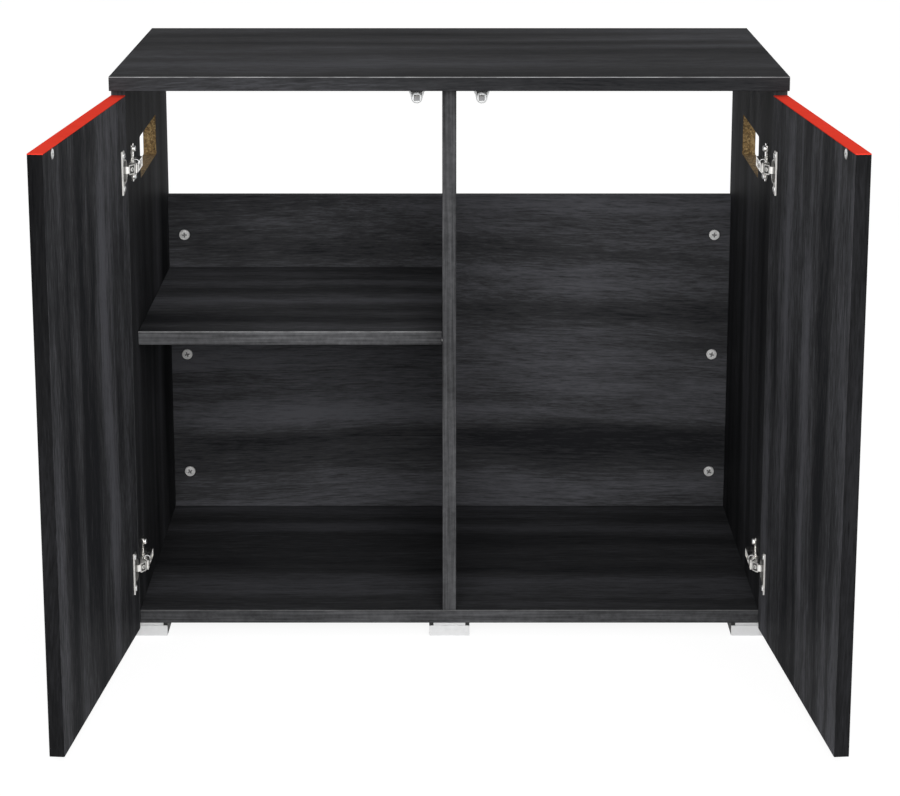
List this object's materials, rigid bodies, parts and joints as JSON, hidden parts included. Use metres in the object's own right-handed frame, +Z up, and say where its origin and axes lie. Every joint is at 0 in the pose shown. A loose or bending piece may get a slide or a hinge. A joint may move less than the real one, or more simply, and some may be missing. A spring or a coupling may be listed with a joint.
{
  "type": "aquarium stand cabinet",
  "caption": "Low black board cabinet that carries an aquarium, with a divider, a half shelf, an open upper back and hinged doors with red top edges.",
  "frame": {"origin": "centre of the footprint on the floor, with the doors open as stored", "axes": "+X to the right seen from the front, +Y from the doors to the back, +Z up"},
  "size_m": [0.8274, 0.7934, 0.667],
  "materials": {
    "black_laminate": "black woodgrain foil on chipboard, satin",
    "red_edge_band": "red plastic edge band",
    "nickel_plated_steel": "bright nickel plating",
    "zinc_alloy": "bare zinc die casting",
    "zinc_plated_steel": "bright zinc plating",
    "silver_cover": "silver lacquer, satin",
    "black_plastic": "moulded, fine texture",
    "milky_plastic": "translucent white"
  },
  "bodies": {
    "root": {"back_panel": "black_laminate", "bottom_panel": "black_laminate", "divider_panel": "black_laminate", "foot_front_left_block": "black_plastic", "foot_front_left_cover": "silver_cover", "foot_front_middle_block": "black_plastic", "foot_front_middle_cover": "silver_cover", "foot_front_right_block": "black_plastic", "foot_front_right_cover": "silver_cover", "foot_rear_left_block": "black_plastic", "foot_rear_left_cover": "silver_cover", "foot_rear_middle_block": "black_plastic", "foot_rear_middle_cover": "silver_cover", "foot_rear_right_block": "black_plastic", "foot_rear_right_cover": "silver_cover", "left_back_cam_1": "zinc_alloy", "left_back_cam_2": "zinc_alloy", "left_back_cam_3": "zinc_alloy", "left_catch_housing": "milky_plastic", "left_catch_magnet": "zinc_plated_steel", "left_lower_hinge_arm": "nickel_plated_steel", "left_lower_hinge_mounting_plate": "nickel_plated_steel", "left_side_panel": "black_laminate", "left_upper_hinge_arm": "nickel_plated_steel", "left_upper_hinge_mounting_plate": "nickel_plated_steel", "right_back_cam_1": "zinc_alloy", "right_back_cam_2": "zinc_alloy", "right_back_cam_3": "zinc_alloy", "right_catch_housing": "milky_plastic", "right_catch_magnet": "zinc_plated_steel", "right_lower_hinge_arm": "nickel_plated_steel", "right_lower_hinge_mounting_plate": "nickel_plated_steel", "right_side_panel": "black_laminate", "right_upper_hinge_arm": "nickel_plated_steel", "right_upper_hinge_mounting_plate": "nickel_plated_steel", "shelf": "black_laminate", "shelf_pin_front_inner": "zinc_plated_steel", "shelf_pin_front_outer": "zinc_plated_steel", "shelf_pin_rear_inner": "zinc_plated_steel", "shelf_pin_rear_outer": "zinc_plated_steel", "top_panel": "black_laminate"},
    "left_links": {"left_lower_hinge_link": "nickel_plated_steel", "left_upper_hinge_link": "nickel_plated_steel"},
    "left_door": {"left_catch_disc": "zinc_plated_steel", "left_door": "black_laminate", "left_door_band": "red_edge_band", "left_lower_hinge_cup": "nickel_plated_steel", "left_lower_hinge_cup_pin": "nickel_plated_steel", "left_upper_hinge_cup": "nickel_plated_steel", "left_upper_hinge_cup_pin": "nickel_plated_steel"},
    "right_links": {"right_lower_hinge_link": "nickel_plated_steel", "right_upper_hinge_link": "nickel_plated_steel"},
    "right_door": {"right_catch_disc": "zinc_plated_steel", "right_door": "black_laminate", "right_door_band": "red_edge_band", "right_lower_hinge_cup": "nickel_plated_steel", "right_lower_hinge_cup_pin": "nickel_plated_steel", "right_upper_hinge_cup": "nickel_plated_steel", "right_upper_hinge_cup_pin": "nickel_plated_steel"}
  },
  "joints": [
    {"name": "left_link_pivot", "type": "hinge", "parent": "root", "child": "left_links", "pos_m": [-0.354, -0.01525, 0.3245], "axis": [0, 0, -1], "range_deg": [-3.7, 23.8]},
    {"name": "left_door_hinge", "type": "hinge", "parent": "left_links", "child": "left_door", "pos_m": [-0.36816, -0.02751, 0.3245], "axis": [0, 0, -1], "range_deg": [-119, 18.5]},
    {"name": "right_link_pivot", "type": "hinge", "parent": "root", "child": "right_links", "pos_m": [0.354, -0.01525, 0.3245], "axis": [0, 0, 1], "range_deg": [-3.7, 23.8]},
    {"name": "right_door_hinge", "type": "hinge", "parent": "right_links", "child": "right_door", "pos_m": [0.36816, -0.02751, 0.3245], "axis": [0, 0, 1], "range_deg": [-119, 18.5]}
  ],
  "couplings": [
    {"joint": "left_link_pivot", "follows": "left_door_hinge", "ratio": -0.2},
    {"joint": "right_link_pivot", "follows": "right_door_hinge", "ratio": -0.2}
  ]
}
